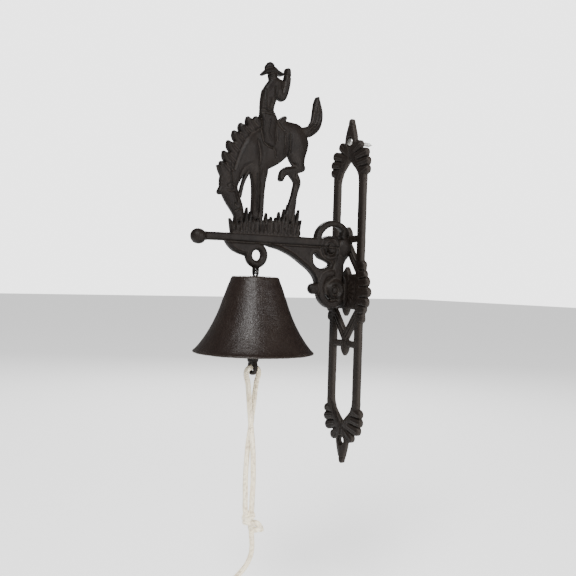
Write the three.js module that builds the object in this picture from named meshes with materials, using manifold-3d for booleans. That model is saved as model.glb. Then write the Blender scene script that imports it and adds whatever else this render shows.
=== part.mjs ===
// Cast-iron yard dinner bell on a wall bracket, with a bucking-horse figure on the arm.
// Millimetres, +Z up. The origin is the middle of the wall plate's back face, the wall is at +Y,
// and the arm reaches out along -Y. "u" below is the distance out from the wall, so y = -u.
import * as THREE from "three";
import { mergeVertices } from "three/addons/utils/BufferGeometryUtils.js";
import Module from "manifold-3d";

const wasm = await Module();
wasm.setup();

// ---- Driving dimensions ----
const GAP = 0.3; // between pieces that touch
const PLATE_HALF_HEIGHT = 173;
const PLATE_THICK = 5;
const RAIL_INNER = 15.2;
const RAIL_OUTER = 24;
const RAIL_END_Z = 117;
const MOUNT_HOLE_Z = 149.7;
const MOUNT_HOLE_R = 3.25;
const SPOT_FACE_DEPTH = 2.8;

const ARM_SCREW_Z = [40, 10];
const ARM_SCREW_R = 2;
const ARM_SCREW_HEAD_R = 3.8;
const ARM_SCREW_DEPTH = 12; // thread length inside the arm
const FOOT_THICK = 4;

const BAR_Z = 47;
const BAR_HALF = 4.4;
const BAR_THICK = 9;
const BALL_U = 173;
const BALL_Z = 45.9;
const BALL_R = 6.9;
const WEB_THICK = 7; // the brace, the grass, the horse and its rider
const SCROLL_THICK = 9;
const FIGURE_LEAN = 0.035; // how far the horse and rider lean out, for each unit of height above the bar

const BELL_U = 112; // the bell's axis, out from the wall
const RING = { z: 31.6, major: 8.4, minor: 3.7 };
const LUG_Z = 17.4; // the hole under the ring that the hanger hooks into
const LUG_THICK = 4.4;
const LUG_HOLE_R = 1.65;

const CROWN_Z = 12.4;
const CROWN_THICK = 4.8;
const MOUTH_Z = -58.5;
const MOUTH_R = 56;
const CROWN_HOLE_R = 4.2;

const HANGER_WIRE_R = 1.1;
const HANGER_LOOP_Z = -4.4; // lowest run of the hanger's lower loop
const LINK_WIRE_R = 1;
const CLAPPER_EYE = { z: -12, outer: 4.4, hole: 1.9, thick: 5 };
const STRIKER_Z = -44;
const STRIKER_R = 12;
const TAIL_EYE = { z: -72.6, outer: 6.5, hole: 4.1, thick: 5 };

const WASHER = { inner: 2.9, outer: 8, thick: 1.2 };

const ROPE_R = 2.5;
const ROPE_STEP = 10; // length of one straight piece of a strand
const KNOT = { z: -214, half: [6.5, 6.5, 8] };
const END_KNOT = { at: [-2.4, -18.6, -271.8], half: [5, 5, 5.5] };

// ---- Materials ----
const castIron = new THREE.MeshStandardMaterial({ color: 0x2b2523, roughness: 0.55, metalness: 0.6 });
const blackWire = new THREE.MeshStandardMaterial({ color: 0x1d1b1a, roughness: 0.45, metalness: 0.8 });
const zincSteel = new THREE.MeshStandardMaterial({ color: 0x9a9893, roughness: 0.35, metalness: 0.9 });
const cotton = new THREE.MeshStandardMaterial({ color: 0xe9e2d2, roughness: 0.95, metalness: 0 });

// ---- Solid helpers ----
function solid(geometry) {
  const bare = geometry.index ? geometry.toNonIndexed() : geometry.clone();
  for (const name of Object.keys(bare.attributes)) {
    if (name !== "position") bare.deleteAttribute(name);
  }
  const merged = mergeVertices(bare, 1e-4);
  return new wasm.Manifold(
    new wasm.Mesh({
      numProp: 3,
      vertProperties: new Float32Array(merged.attributes.position.array),
      triVerts: new Uint32Array(merged.index.array),
    }),
  );
}

function union(geometries) {
  return geometries.map(solid).reduce((all, next) => all.add(next));
}

function without(body, cutters) {
  return cutters.map(solid).reduce((left, cutter) => left.subtract(cutter), body);
}

function geometryOf(body) {
  const mesh = body.getMesh();
  const geometry = new THREE.BufferGeometry();
  geometry.setAttribute("position", new THREE.BufferAttribute(mesh.vertProperties, 3));
  geometry.setIndex(new THREE.BufferAttribute(mesh.triVerts, 1));
  return geometry;
}

function slab(shape, depth) {
  return new THREE.ExtrudeGeometry(shape, { depth, bevelEnabled: false, curveSegments: 3 });
}

// A shape drawn in (u, z), made `thick` wide and centred on the arm's middle plane x = 0.
function onArm(shape, thick = WEB_THICK) {
  const geometry = slab(shape, thick);
  const toWorld = new THREE.Matrix4().makeBasis(
    new THREE.Vector3(0, -1, 0),
    new THREE.Vector3(0, 0, 1),
    new THREE.Vector3(-1, 0, 0),
  );
  return geometry.applyMatrix4(toWorld).translate(thick / 2, 0, 0);
}

// A shape drawn in (x, z), as seen from in front of the wall, between two distances from the wall.
function onPlate(shape, from, to) {
  const geometry = slab(shape, to - from);
  const toWorld = new THREE.Matrix4().makeBasis(
    new THREE.Vector3(1, 0, 0),
    new THREE.Vector3(0, 0, 1),
    new THREE.Vector3(0, -1, 0),
  );
  return geometry.applyMatrix4(toWorld).translate(0, -from, 0);
}

// The outline of a stroke through [a, b, half width] points, round at both ends.
function stroke(points) {
  const line = new THREE.CatmullRomCurve3(points.map((p) => new THREE.Vector3(...p)), false, "centripetal");
  const dots = points.length > 2 ? line.getPoints(points.length * 2 - 2) : line.points;
  const angles = dots.map((dot, i) => {
    const before = dots[Math.max(i - 1, 0)];
    const after = dots[Math.min(i + 1, dots.length - 1)];
    return Math.atan2(after.y - before.y, after.x - before.x);
  });
  const edge = (i, turn) => [
    dots[i].x + dots[i].z * Math.cos(angles[i] + turn),
    dots[i].y + dots[i].z * Math.sin(angles[i] + turn),
  ];
  const last = dots.length - 1;
  const quarter = Math.PI / 2;
  const rightSide = dots.map((_, i) => edge(i, -quarter));
  const leftSide = dots.map((_, i) => edge(last - i, quarter));
  const capTurns = (i) => (dots[i].z < 1 ? [] : [0.25, 0.5, 0.75]);
  const roundEnd = (i, from) => capTurns(i).map((part) => edge(i, from + part * Math.PI));
  return polygon([...rightSide, ...roundEnd(last, -quarter), ...leftSide, ...roundEnd(0, quarter)]);
}

const armStroke = (points, thick = WEB_THICK) => onArm(stroke(points), thick);
const plateStroke = (points) => onPlate(stroke(points), 0, PLATE_THICK);

function polygon(points) {
  return new THREE.Shape(points.map((p) => new THREE.Vector2(...p)));
}

function smoothOutline(points, divisions) {
  const loop = new THREE.CatmullRomCurve3(points.map(([a, b]) => new THREE.Vector3(a, b, 0)), true);
  return polygon(loop.getPoints(divisions).slice(0, -1).map((p) => [p.x, p.y]));
}

function disc(a, b, radius) {
  return new THREE.Shape().absarc(a, b, radius, 0, 2 * Math.PI, false);
}

// Each geometry again, mirrored in the plane through the origin across one axis.
function mirrored(geometries, axis) {
  const scale = new THREE.Vector3(1, 1, 1).setComponent("xyz".indexOf(axis), -1);
  return geometries.map((geometry) => {
    const copy = geometry.index ? geometry.toNonIndexed() : geometry.clone();
    copy.scale(scale.x, scale.y, scale.z);
    const p = copy.attributes.position;
    for (let i = 0; i < p.count; i += 3) {
      const b = [p.getX(i + 1), p.getY(i + 1), p.getZ(i + 1)];
      p.setXYZ(i + 1, p.getX(i + 2), p.getY(i + 2), p.getZ(i + 2));
      p.setXYZ(i + 2, ...b);
    }
    return copy;
  });
}

const inFourQuarters = (geometries) => {
  const sides = [...geometries, ...mirrored(geometries, "x")];
  return [...sides, ...mirrored(sides, "z")];
};

// A round wire or cord through points, `sides` sides round, with one step for each `pace` of length.
function cord(points, radius, pace, sides) {
  const line = new THREE.CatmullRomCurve3(points.map((p) => new THREE.Vector3(...p)), false, "centripetal");
  const section = new THREE.Shape();
  for (let i = 0; i < sides; i += 1) {
    const angle = (2 * Math.PI * i) / sides;
    const corner = [radius * Math.cos(angle), radius * Math.sin(angle)];
    if (i === 0) section.moveTo(...corner);
    else section.lineTo(...corner);
  }
  const steps = Math.max(2, Math.round(line.getLength() / pace));
  return new THREE.ExtrudeGeometry(section, { steps, extrudePath: line, bevelEnabled: false });
}

function turned(profile, segments) {
  const geometry = new THREE.LatheGeometry(profile.map(([r, z]) => new THREE.Vector2(r, z)), segments);
  return geometry.rotateX(Math.PI / 2);
}

function cylinder(radius, length) {
  return new THREE.CylinderGeometry(radius, radius, length, 20);
}

// ---- Wall plate: two rails, pointed windows, leaf ends, strapwork and a rosette block ----
function leafEnd() {
  return [
    plateStroke([[19.6, 111, 4.4], [16.5, 122, 5.2], [5, 136.5, 5]]),
    plateStroke([[5, 136, 5], [12.6, 145.6, 4.8]]),
    plateStroke([[9, 131, 5], [21.6, 137, 4.9]]),
    plateStroke([[14, 124, 5], [24.2, 128.5, 4.8]]),
    plateStroke([[19, 116, 4.6], [24.4, 120.5, 4.5]]),
  ];
}

function spear() {
  const tipR = 3;
  return plateStroke([[0, 141, 9], [0, 152, 8.2], [0, PLATE_HALF_HEIGHT - tipR, tipR]]);
}

function strapwork() {
  return [
    plateStroke([[0, 52, 3.4], [19.6, 53, 3.4]]),
    plateStroke([[17.2, 21.6, 4], [9.2, 33, 4.1], [0, 46.2, 4.2]]),
    plateStroke([[0, 52, 5.2], [0, 57.6, 4.6], [0, 64.2, 0.5]]),
    plateStroke([[0, 14, 6], [0, 19.6, 3.6], [0, 24.2, 0.5]]),
  ];
}

function sidePalmette() {
  return [
    plateStroke([[20, 0, 5], [30, 0, 5]]),
    plateStroke([[20, 5, 5], [28, 10, 5]]),
    plateStroke([[20, 12, 5], [25, 17, 4.6]]),
    plateStroke([[23.6, 22, 3.4], [23.6, 26.5, 4]]),
  ];
}

function mountHoleCutters() {
  const spotFaceR = MOUNT_HOLE_R + 2.3;
  return [MOUNT_HOLE_Z, -MOUNT_HOLE_Z].flatMap((z) => [
    onPlate(disc(0, z, MOUNT_HOLE_R), -1, PLATE_THICK + 1),
    onPlate(disc(0, z, spotFaceR), PLATE_THICK - SPOT_FACE_DEPTH, PLATE_THICK + 1),
  ]);
}

// A countersunk hole through the plate from the back, wide at the wall side.
function countersink(z, clearance) {
  const head = ARM_SCREW_HEAD_R + clearance;
  const neck = ARM_SCREW_R + clearance;
  const rim = 0.4;
  const past = PLATE_THICK + 1;
  const profile = [[0, -1], [head, -1], [head, rim], [neck, rim + head - neck], [neck, past], [0, past]];
  return turned(profile, 20).rotateX(Math.PI / 2).translate(0, 0, z);
}

function wallPlate() {
  const rail = polygon([[RAIL_INNER, 0], [RAIL_OUTER, 0], [RAIL_OUTER, RAIL_END_Z], [RAIL_INNER, RAIL_END_Z]]);
  const block = polygon([[0, 0], [21, 0], [21, 15], [16, 18], [0, 17]]);
  const quarter = [
    onPlate(rail, 0, PLATE_THICK),
    onPlate(block, 0, PLATE_THICK),
    ...leafEnd(),
    spear(),
    ...strapwork(),
    ...sidePalmette(),
  ];
  const screwBoss = onPlate(disc(0, ARM_SCREW_Z[0], 6), 0, PLATE_THICK);
  const whole = union([...inFourQuarters(quarter), screwBoss]);
  const clearance = 0.4;
  return without(whole, [...mountHoleCutters(), ...ARM_SCREW_Z.map((z) => countersink(z, clearance))]);
}

// ---- Arm casting: bar, brace, scrolls, ring, grass, horse and rider, all in one piece ----
function spiral(a, b, turns) {
  return turns.map(([degrees, distance, halfWidth]) => {
    const angle = THREE.MathUtils.degToRad(degrees);
    return [a + distance * Math.cos(angle), b + distance * Math.sin(angle), halfWidth];
  });
}

function bar() {
  return [
    armStroke([[12, BAR_Z, BAR_HALF], [BALL_U - 5, BAR_Z, BAR_HALF]], BAR_THICK),
    new THREE.SphereGeometry(BALL_R, 20, 14).translate(0, -BALL_U, BALL_Z),
  ];
}

function brace() {
  const underside = new THREE.CatmullRomCurve3(
    [[97, 38.5], [87, 37.5], [73.5, 32.5], [60.5, 25], [50, 18], [44, 11.5], [41.5, 5]].map(
      ([u, z]) => new THREE.Vector3(u, z, 0),
    ),
  );
  const leafFillet = [[150, 42], [141, 38], [132, 33.5], [124, 30.5]];
  const roundTheRing = [[121, 35], [117, 40], [112, 41.5], [106, 41]];
  const wallSide = [[30, -4], [12, 4], [9, 20], [9, BAR_Z]];
  const curve = underside.getPoints(14).map((p) => [p.x, p.y]);
  return polygon([...leafFillet, ...roundTheRing, ...curve, ...wallSide, [150, BAR_Z]]);
}

function crescentWindow() {
  const points = [[47.6, 35], [46.6, 27], [41, 22.6], [33, 22.4], [26.5, 26], [32, 29], [40, 31.8], [45, 36.4]];
  return smoothOutline(points, 24);
}

function scrolls() {
  const upper = [[-4, 21, 3.4], [35, 20.8, 3.6], [70, 20.8, 3.4], [105, 20.6, 3.2], [134, 20, 3]];
  const lower = [[55, 19, 4], [20, 19.5, 4], [-20, 17.5, 4], [-60, 15.5, 4], [-100, 13, 4], [-140, 9, 4], [180, 6, 4]];
  return [
    armStroke(spiral(22, 46, upper), SCROLL_THICK - 1),
    onArm(disc(27, 42, 12.5), SCROLL_THICK),
    armStroke(spiral(19, 1, lower), SCROLL_THICK),
    onArm(disc(18, 2, 12.5), SCROLL_THICK),
    armStroke([[39, 1.8, 5], [45.4, 2, 5.2]]),
  ];
}

function footPads() {
  const outlines = [stroke([[0, -10, 6], [0, 10, 6]]), stroke([[0, 37.5, 6], [0, 47.5, 6]])];
  return outlines.map((outline) => onPlate(outline, PLATE_THICK + GAP, PLATE_THICK + GAP + FOOT_THICK));
}

function hangingRing() {
  const torus = new THREE.TorusGeometry(RING.major, RING.minor, 12, 28).rotateY(Math.PI / 2);
  return [
    torus.translate(0, -BELL_U, RING.z),
    onArm(stroke([[BELL_U, RING.z - RING.major - 0.8, 3], [BELL_U, LUG_Z, 3.2]]), LUG_THICK),
  ];
}

function grass() {
  const mound = armStroke([[136, 52, 4], [122, 57, 7.5], [100, 58, 8.5], [82, 58, 8.5], [68, 56, 5.5]]);
  const blades = [
    [139, 141.6, 64], [133, 131, 69], [125, 123.4, 74.6], [118, 121, 70], [110, 111, 72], [103, 102.6, 72.4],
    [97, 97, 69], [91, 88.2, 73], [85, 84, 77], [79, 78.5, 80], [71, 66, 78], [66, 62.4, 68],
  ];
  return [mound, ...blades.map(([base, tip, z]) => armStroke([[base, 54, 3.2], [tip, z, 0.8]]))];
}

// A limb of the figure, which leans out over the arm.
function leaningStroke(points) {
  return armStroke(points.map(([u, z, halfWidth]) => [u + FIGURE_LEAN * (z - BAR_Z), z, halfWidth]));
}

const horse = {
  trunk: [[116, 127, 22], [100, 135, 21.5], [84, 142, 17.5], [70.5, 143.5, 15.5]],
  neck: [[126, 127, 18], [132, 121, 16], [140, 107, 12.6], [143, 93, 10], [138.5, 81, 8], [134, 74, 6.5]],
  muzzle: [[134, 74, 6.5], [131.5, 66, 5]],
  ear: [[147, 103, 3.4], [153, 108.4, 0.8]],
  browTuft: [[144, 90, 6], [151.4, 85.6, 1.6]],
  foreLegs: [
    [[108, 112, 9], [106.6, 99, 4.4], [107.6, 86, 3.6], [109, 68, 3.6]],
    [[113, 108, 7.5], [113.4, 97, 4], [113.6, 84, 3.6], [114.6, 68, 3.8]],
  ],
  thigh: [[66, 140, 13], [67, 128, 10], [64, 118, 5]],
  raisedHindLeg: [[61.5, 117, 4.2], [70, 114, 4], [78, 112.6, 4], [82.4, 110, 3.6], [85, 104.4, 2.6]],
  hindLeg: [[72, 112, 5], [66.4, 103, 3.8], [68.4, 95, 3.1], [70.6, 87, 3.2], [72.4, 80, 4.2], [76, 70, 6]],
  tail: [[58, 151, 5.4], [51, 153.6, 5.2], [44.6, 160.4, 6], [42, 171, 6], [42.4, 181, 3.6], [42, 187, 0.8]],
  rein: [[121, 108, 1.7], [127, 97, 1.6], [130.5, 84, 1.6]],
  maneRoots: [[112, 150], [121, 147], [130, 140], [137, 130], [142, 119], [146, 110]],
  maneTips: [[115.4, 156.8], [123.4, 155], [130.8, 147.6], [137.4, 140.2], [142.8, 130.8], [147.6, 121]],
};

function horseFigure() {
  const { foreLegs, maneRoots, maneTips, ...single } = horse;
  const locks = maneRoots.map(([u, z], i) => [[u, z, 4.6], [...maneTips[i], 1]]);
  return [...Object.values(single), ...foreLegs, ...locks].map(leaningStroke);
}

const rider = {
  torso: [[98.5, 155, 10.5], [101, 167, 7.6], [98, 180, 8.4], [91.5, 191, 7.6]],
  arm: [[88, 190, 5], [84.6, 180.4, 4.4], [79.6, 190, 3.7], [77.8, 199, 3.3], [77.4, 206, 3]],
  head: [[93.5, 194, 4.4], [95.5, 200.5, 5.4]],
  hatBrim: [[104.6, 199, 1.3], [96, 204.4, 2], [84.6, 203, 1.4]],
  hatCrown: [[97.4, 205, 5], [97.6, 207.6, 3.6]],
  cantle: [[86, 156, 4.4], [81.2, 161.6, 2]],
};

function riderFigure() {
  return Object.values(rider).map(leaningStroke);
}

function armCasting() {
  const whole = union([
    ...bar(),
    onArm(brace()),
    ...scrolls(),
    ...footPads(),
    ...hangingRing(),
    ...grass(),
    ...horseFigure(),
    ...riderFigure(),
  ]);
  const threads = ARM_SCREW_Z.map((z) =>
    cylinder(ARM_SCREW_R + GAP, ARM_SCREW_DEPTH + 2).translate(0, -PLATE_THICK - ARM_SCREW_DEPTH / 2, z),
  );
  const lugHole = cylinder(LUG_HOLE_R, 20).rotateZ(Math.PI / 2).translate(0, -BELL_U, LUG_Z);
  return without(whole, [onArm(crescentWindow(), 2 * SCROLL_THICK), ...threads, lugHole]);
}

// ---- Screws ----
// A countersunk slotted screw driven from the wall side into the arm, its head flush with the plate.
function armScrew() {
  const back = 0.3;
  const rim = 0.5;
  const tip = PLATE_THICK + ARM_SCREW_DEPTH - 1;
  const profile = [
    [0, back], [ARM_SCREW_HEAD_R, back], [ARM_SCREW_HEAD_R, rim],
    [ARM_SCREW_R, rim + ARM_SCREW_HEAD_R - ARM_SCREW_R],
    [ARM_SCREW_R, tip - 1], [ARM_SCREW_R - 1, tip], [0, tip],
  ];
  const slot = new THREE.BoxGeometry(3 * ARM_SCREW_HEAD_R, 1.6, 1.1);
  return without(solid(turned(profile, 20).rotateX(Math.PI / 2)), [slot]);
}

// The screw that the plate hangs on: a pan head on the upper hole's spot face, its shank into the wall.
function mountingScrew() {
  const seat = PLATE_THICK - SPOT_FACE_DEPTH + GAP;
  const headR = 3.9;
  const shankR = 2.2;
  const point = -26;
  const profile = [
    [0, point], [0.5, point], [shankR, point + 5], [shankR, seat], [headR, seat], [headR, seat + 1.3],
    [headR * 0.8, seat + 2.2], [headR * 0.4, seat + 2.7], [0, seat + 2.8],
  ];
  const screw = solid(turned(profile, 20).rotateX(Math.PI / 2));
  const slots = [[4.6, 0.9], [0.9, 4.6]].map(([w, h]) =>
    new THREE.BoxGeometry(w, 1.4, h).translate(0, -seat - 2.7, 0),
  );
  return without(screw, slots);
}

// ---- Bell, hanger and clapper, drawn with the bell's axis through the origin ----
function bellShell() {
  const outside = [
    [5.6, CROWN_Z], [18, 12.1], [21.2, 11.4], [22.6, 9.4], [25.6, 1.8], [28, -5.6], [30.6, -13], [33.4, -20.4],
    [36.6, -27.8], [40.2, -35.2], [44.5, -42.6], [49.5, -50], [53.4, -55.2], [MOUTH_R, -57.4], [MOUTH_R, MOUTH_Z],
  ];
  const inside = [
    [MOUTH_R - 3, MOUTH_Z], [50.6, -56], [45.6, -50], [40.6, -42.6], [36.3, -35.2], [32.7, -27.8], [29.5, -20.4],
    [26.7, -13], [24.1, -5.6], [21.3, 1.8], [19, 6.4], [17.4, CROWN_Z - CROWN_THICK],
    [CROWN_HOLE_R, CROWN_Z - CROWN_THICK], [CROWN_HOLE_R, CROWN_Z - 1.6],
  ];
  return turned([...outside, ...inside, outside[0]].reverse(), 40);
}

// One wire bent into a link pinched at the waist: its top run lies in the lug, its waist in the crown
// hole, and the clapper link hangs in its lower loop.
function hangerWire() {
  const half = [
    [-0.3, 0, LUG_Z], [1.6, 0, LUG_Z], [3.4, 0, 16.7], [4, 0, 15.2], [3.3, 0, 13.9], [1.9, 0, 12.2], [1.3, 0, 10.6],
    [1.3, 0, 7.4], [1.6, 0, 5.8], [3.4, 0, 3.9], [4.7, 0, 0.6], [4, 0, -2.8], [2, 0, HANGER_LOOP_Z],
    [-0.3, 0, HANGER_LOOP_Z],
  ];
  const right = cord(half, HANGER_WIRE_R, 1.3, 10);
  return union([right, ...mirrored([right], "x")]);
}

function crownWasher() {
  const top = CROWN_Z - CROWN_THICK - GAP;
  const bottom = top - WASHER.thick;
  const corner = [WASHER.inner, bottom];
  return turned([corner, [WASHER.outer, bottom], [WASHER.outer, top], [WASHER.inner, top], corner], 28);
}

function clapperLink() {
  const top = HANGER_LOOP_Z + HANGER_WIRE_R + LINK_WIRE_R + GAP;
  const bottom = CLAPPER_EYE.z;
  const half = [
    [0, -0.3, top], [0, 2, top], [0, 4, top - 1.3], [0, 4.6, top - 4], [0, 4.6, bottom + 4],
    [0, 4, bottom + 1.3], [0, 2, bottom], [0, -0.3, bottom],
  ];
  const right = cord(half, LINK_WIRE_R, 1.6, 10);
  return union([right, ...mirrored([right], "y")]);
}

// The tail's eye is flared at both faces, so that the rope lies over a rounded edge.
function tailEyeHole() {
  const { hole, thick, z } = TAIL_EYE;
  const end = thick / 2 + 0.5;
  const flare = hole + 1.6;
  const profile = [[0, -end], [flare, -end], [hole, -0.7], [hole, 0.7], [flare, end], [0, end]];
  return turned(profile, 20).rotateX(Math.PI / 2).translate(0, 0, z);
}

function clapper() {
  const rodTop = CLAPPER_EYE.z - 2.6;
  const rod = turned([
    [0, -67.4], [4.4, -67.4], [5.2, -66], [5.6, STRIKER_Z - 11], [8.4, STRIKER_Z - 8.6], [11, STRIKER_Z - 5],
    [STRIKER_R, STRIKER_Z], [11, STRIKER_Z + 5], [8.2, STRIKER_Z + 9], [3.8, STRIKER_Z + STRIKER_R], [3.4, -22],
    [2.6, rodTop], [0, rodTop],
  ], 24);
  const facing = (shape, thick) => onPlate(shape, -thick / 2, thick / 2);
  const eye = facing(disc(0, CLAPPER_EYE.z, CLAPPER_EYE.outer), CLAPPER_EYE.thick);
  const eyeHole = facing(disc(0, CLAPPER_EYE.z, CLAPPER_EYE.hole), 2 * CLAPPER_EYE.thick);
  const tail = facing(stroke([[0, -65, 5.4], [0, TAIL_EYE.z, TAIL_EYE.outer]]), TAIL_EYE.thick);
  return without(union([rod, eye, tail]), [eyeHole, tailEyeHole()]);
}

// ---- Rope: one cotton cord through the clapper's tail, its two strands twisted once and knotted ----
const FRONT_STRAND = [
  [0, -0.2, -72], [0, -1.5, -72], [0, -4.2, -72.8], [0, -6.2, -74.9], [0.1, -6.9, -78], [0.5, -6.3, -81.8],
  [0.9, -5.3, -86], [1.2, -4.6, -92], [1.5, -4, -99], [1.8, -3.4, -107], [2.2, -2.7, -115], [2.5, -1.9, -123],
  [2.7, -0.8, -132], [2.7, 0.5, -141], [2.5, 1.6, -151], [2.1, 2.5, -163], [1.7, 3.2, -178], [1.3, 3, -192],
  [1, 2.7, -205.5],
];
const TAIL = [
  [0.4, 3.2, -222.4], [0.4, 4.1, -229], [0.2, 5, -238], [-0.2, 4.2, -247], [-0.6, 0, -255.5],
  [-1.2, -6.8, -262.5], [-1.8, -14.6, -268],
];
const STUB = [[1.7, 6.9, -217.3], [2.2, 9.3, -218.4], [2.6, 12.3, -221.6], [2.8, 13.5, -225.2]];

function ropeRun(points) {
  return cord(points, ROPE_R, ROPE_STEP, 10);
}

function backStrand() {
  return ropeRun(FRONT_STRAND.map(([x, v, z]) => [-x, -v, z]));
}

function pebble(halves) {
  return new THREE.SphereGeometry(1, 16, 10).rotateX(Math.PI / 2).scale(...halves);
}

// ---- The assembly ----
const bell = new THREE.Group();

function add(name, shape, material, position = [0, 0, 0]) {
  const geometry = shape.isBufferGeometry ? shape : geometryOf(shape);
  geometry.computeVertexNormals();
  const mesh = new THREE.Mesh(geometry, material);
  mesh.name = name;
  mesh.position.set(...position);
  bell.add(mesh);
}

// The same for the pieces that hang on the bell's axis.
function hang(name, shape, material, [x, y, z] = [0, 0, 0]) {
  add(name, shape, material, [x, y - BELL_U, z]);
}

add("wall_plate", wallPlate(), castIron);
add("arm_casting", armCasting(), castIron);
add("arm_screw_upper", armScrew(), zincSteel, [0, 0, ARM_SCREW_Z[0]]);
add("arm_screw_lower", armScrew(), zincSteel, [0, 0, ARM_SCREW_Z[1]]);
add("mounting_screw", mountingScrew(), zincSteel, [0, 0, MOUNT_HOLE_Z]);

hang("hanger_wire", hangerWire(), blackWire);
hang("crown_washer", crownWasher(), zincSteel);
hang("bell_shell", bellShell(), castIron);
hang("clapper_link", clapperLink(), blackWire);
hang("clapper", clapper(), castIron);

hang("rope_front_strand", ropeRun(FRONT_STRAND), cotton);
hang("rope_back_strand", backStrand(), cotton);
hang("rope_knot", pebble(KNOT.half), cotton, [0, 0, KNOT.z]);
hang("rope_stub", ropeRun(STUB), cotton);
hang("rope_tail", ropeRun(TAIL), cotton);
hang("rope_end_knot", pebble(END_KNOT.half), cotton, END_KNOT.at);

export default bell;
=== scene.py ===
# The looks of a cast-iron yard dinner bell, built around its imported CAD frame.
# Metres, +Z up. The wall is at +Y, the arm reaches out along -Y, and "u" is the distance out from
# the wall, so y = -u. Shapes are worked out in millimetres and scaled by MM at the end.
import math

import bpy
import numpy as np
from mathutils import Euler, Matrix, Vector


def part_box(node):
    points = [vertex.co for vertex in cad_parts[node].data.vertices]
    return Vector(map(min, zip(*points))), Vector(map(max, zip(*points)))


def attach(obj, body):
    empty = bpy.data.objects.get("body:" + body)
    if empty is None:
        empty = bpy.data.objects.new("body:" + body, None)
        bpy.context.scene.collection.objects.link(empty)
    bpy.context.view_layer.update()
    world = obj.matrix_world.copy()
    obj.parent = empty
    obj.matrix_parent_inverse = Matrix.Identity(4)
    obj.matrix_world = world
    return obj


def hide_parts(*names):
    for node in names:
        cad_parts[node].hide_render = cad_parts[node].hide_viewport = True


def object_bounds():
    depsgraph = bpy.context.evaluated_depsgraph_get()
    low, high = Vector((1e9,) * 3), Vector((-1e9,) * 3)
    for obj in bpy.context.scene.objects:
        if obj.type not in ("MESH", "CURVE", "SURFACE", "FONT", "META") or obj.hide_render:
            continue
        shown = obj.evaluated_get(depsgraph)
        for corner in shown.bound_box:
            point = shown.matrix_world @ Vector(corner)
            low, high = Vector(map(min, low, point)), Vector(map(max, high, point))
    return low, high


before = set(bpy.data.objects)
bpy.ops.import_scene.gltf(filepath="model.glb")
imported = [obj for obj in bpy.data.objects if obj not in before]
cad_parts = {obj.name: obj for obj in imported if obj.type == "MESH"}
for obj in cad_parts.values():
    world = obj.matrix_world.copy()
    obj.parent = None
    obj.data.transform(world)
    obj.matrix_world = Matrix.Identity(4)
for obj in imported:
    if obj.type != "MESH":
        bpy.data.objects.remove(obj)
cad_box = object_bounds()

MM = 0.001
GAP = 0.3  # the air between the wall plate and what bears on it
CASTING_STEP = 0.45  # grid spacing of the two big castings
SAND_CAST = [(5, 0.1), (1.6, 0.06)]  # (bump width, height) of their surface


def node_box(node):
    low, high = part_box(node)
    return np.array(low) / MM, np.array(high) / MM


def middle_z(node):
    low, high = node_box(node)
    return (low[2] + high[2]) / 2


PLATE_LOW, PLATE_HIGH = node_box("wall_plate")
PLATE_THICK = -PLATE_LOW[1]
PLATE_TOP = PLATE_HIGH[2]
BELL_LOW, BELL_HIGH = node_box("bell_shell")
BELL_Y = (BELL_LOW[1] + BELL_HIGH[1]) / 2
BELL_U = -BELL_Y
MOUTH_Z = BELL_LOW[2]
CROWN_Z = BELL_HIGH[2]
MOUTH_R = (BELL_HIGH[0] - BELL_LOW[0]) / 2
MOUNT_HOLE_Z = middle_z("mounting_screw")
ARM_SCREW_Z = {name: middle_z(name) for name in ("arm_screw_upper", "arm_screw_lower")}


# ---- Camera: the photograph's angle, from the right of the arm and level with the bell ----
def make_camera():
    data = bpy.data.cameras.new("camera")
    data.sensor_width = 36
    data.lens = 48.5
    camera = bpy.data.objects.new("camera", data)
    bpy.context.scene.collection.objects.link(camera)
    azimuth, look_down, roll = (math.radians(a) for a in (54.58, 0.59, 1.75))
    turn = Euler((math.pi / 2 - look_down, 0, azimuth)).to_matrix() @ Matrix.Rotation(roll, 3, "Z")
    camera.matrix_world = Matrix.Translation(Vector((601.6, -502.5, 9.6)) * MM) @ turn.to_4x4()
    bpy.context.scene.camera = camera


# ---- Curves and meshes ----
def smooth(points, per_span=6):
    """Points along a centripetal Catmull-Rom curve through the given rows."""
    rows = np.array(points, float)
    rows = np.vstack([2 * rows[0] - rows[1], rows, 2 * rows[-1] - rows[-2]])
    line = []
    for a, b, c, d in zip(rows, rows[1:], rows[2:], rows[3:]):
        gaps = [max(np.linalg.norm(q - p), 1e-6) ** 0.5 for p, q in ((a, b), (b, c), (c, d))]
        k0, k1, k2, k3 = np.concatenate([[0], np.cumsum(gaps)])
        for t in np.linspace(k1, k2, per_span, endpoint=False):
            ab = a + (b - a) * (t - k0) / (k1 - k0)
            bc = b + (c - b) * (t - k1) / (k2 - k1)
            cd = c + (d - c) * (t - k2) / (k3 - k2)
            abc = ab + (bc - ab) * (t - k0) / (k2 - k0)
            bcd = bc + (cd - bc) * (t - k1) / (k3 - k1)
            line.append(abc + (bcd - abc) * (t - k1) / (k2 - k1))
    return np.array([*line, rows[-2]])


def evenly(line, step):
    """The same line with its points `step` apart."""
    lengths = np.concatenate([[0], np.cumsum(np.linalg.norm(np.diff(line, axis=0), axis=1))])
    where = np.linspace(0, lengths[-1], max(2, round(lengths[-1] / step) + 1))
    return np.stack([np.interp(where, lengths, line[:, i]) for i in range(line.shape[1])], axis=1)


def new_mesh(name, vertices, faces):
    """A smooth-shaded object from millimetre vertices."""
    mesh = bpy.data.meshes.new(name)
    mesh.from_pydata((np.asarray(vertices) * MM).tolist(), [], faces)
    mesh.update()
    mesh.shade_smooth()
    piece = bpy.data.objects.new(name, mesh)
    bpy.context.scene.collection.objects.link(piece)
    return piece


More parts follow.
